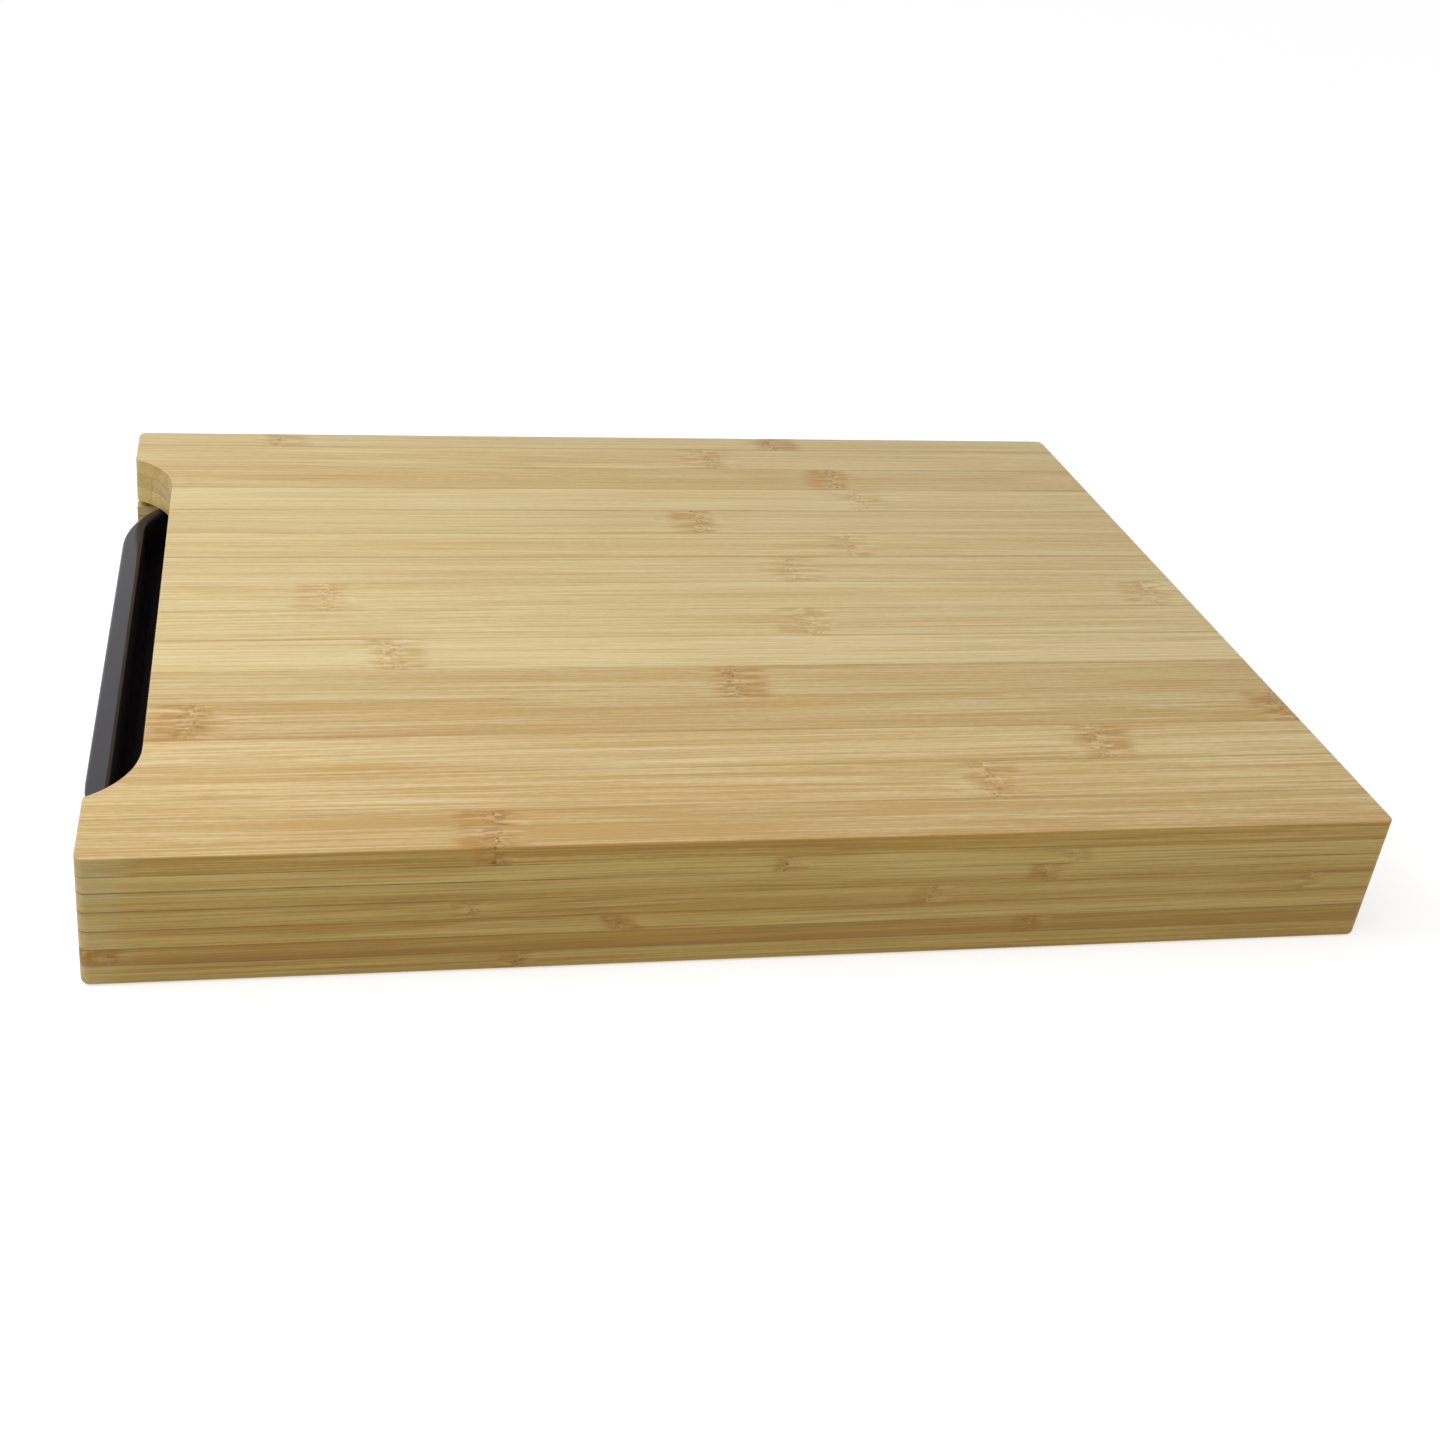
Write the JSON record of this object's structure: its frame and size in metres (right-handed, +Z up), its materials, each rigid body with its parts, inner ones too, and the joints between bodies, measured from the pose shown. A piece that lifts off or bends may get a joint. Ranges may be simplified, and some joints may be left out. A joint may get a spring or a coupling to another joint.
{
  "type": "cutting board with drawer tray",
  "caption": "Thick laminated bamboo cutting board with a glossy black tray that slides out from under its surface; a notch in its end uncovers the tray's rim for the fingers.",
  "frame": {"origin": "centre of the board's underside, on the surface that it stands on; the tray's rim stands out 3.2 mm past the board's left end", "axes": "+X along the grain from the notched end to the closed end, +Y from the front long side to the back one, +Z up out of the cutting surface"},
  "size_m": [0.4032, 0.2834, 0.0455],
  "materials": {
    "bamboo_face": "sanded bamboo, lightly oiled, satin",
    "bamboo_core": "sanded bamboo, seen only at its sawn ends and edges",
    "bamboo_under": "sanded bamboo, seen at its sawn ends and from below",
    "bamboo_rail": "sanded bamboo, lightly oiled, satin",
    "tray_plastic": "glossy black moulded plastic"
  },
  "bodies": {
    "board": {"face_strip_01": "bamboo_face", "face_strip_02": "bamboo_face", "face_strip_03": "bamboo_face", "face_strip_04": "bamboo_face", "face_strip_05": "bamboo_face", "face_strip_06": "bamboo_face", "face_strip_07": "bamboo_face", "face_strip_08": "bamboo_face", "face_strip_09": "bamboo_face", "face_strip_10": "bamboo_face", "face_strip_11": "bamboo_face", "face_strip_12": "bamboo_face", "face_strip_13": "bamboo_face", "face_strip_14": "bamboo_face", "face_strip_15": "bamboo_face", "core_strip_01": "bamboo_core", "core_strip_02": "bamboo_core", "core_strip_03": "bamboo_core", "core_strip_04": "bamboo_core", "core_strip_05": "bamboo_core", "core_strip_06": "bamboo_core", "core_strip_07": "bamboo_core", "core_strip_08": "bamboo_core", "core_strip_09": "bamboo_core", "core_strip_10": "bamboo_core", "core_strip_11": "bamboo_core", "core_strip_12": "bamboo_core", "core_strip_13": "bamboo_core", "core_strip_14": "bamboo_core", "core_strip_15": "bamboo_core", "under_strip_01": "bamboo_under", "under_strip_02": "bamboo_under", "under_strip_03": "bamboo_under", "under_strip_04": "bamboo_under", "under_strip_05": "bamboo_under", "under_strip_06": "bamboo_under", "under_strip_07": "bamboo_under", "under_strip_08": "bamboo_under", "under_strip_09": "bamboo_under", "under_strip_10": "bamboo_under", "under_strip_11": "bamboo_under", "under_strip_12": "bamboo_under", "under_strip_13": "bamboo_under", "under_strip_14": "bamboo_under", "under_strip_15": "bamboo_under", "front_rail_ply_1": "bamboo_rail", "front_rail_ply_2": "bamboo_rail", "front_rail_ply_3": "bamboo_rail", "front_rail_ply_4": "bamboo_rail", "back_rail_ply_1": "bamboo_rail", "back_rail_ply_2": "bamboo_rail", "back_rail_ply_3": "bamboo_rail", "back_rail_ply_4": "bamboo_rail", "end_rail_ply_1": "bamboo_rail", "end_rail_ply_2": "bamboo_rail", "end_rail_ply_3": "bamboo_rail", "end_rail_ply_4": "bamboo_rail"},
    "tray": {"tray": "tray_plastic"}
  },
  "joints": [
    {"name": "tray_slide", "type": "slide", "parent": "board", "child": "tray", "axis": [-1, 0, 0], "range_m": [0, 0.34]}
  ]
}
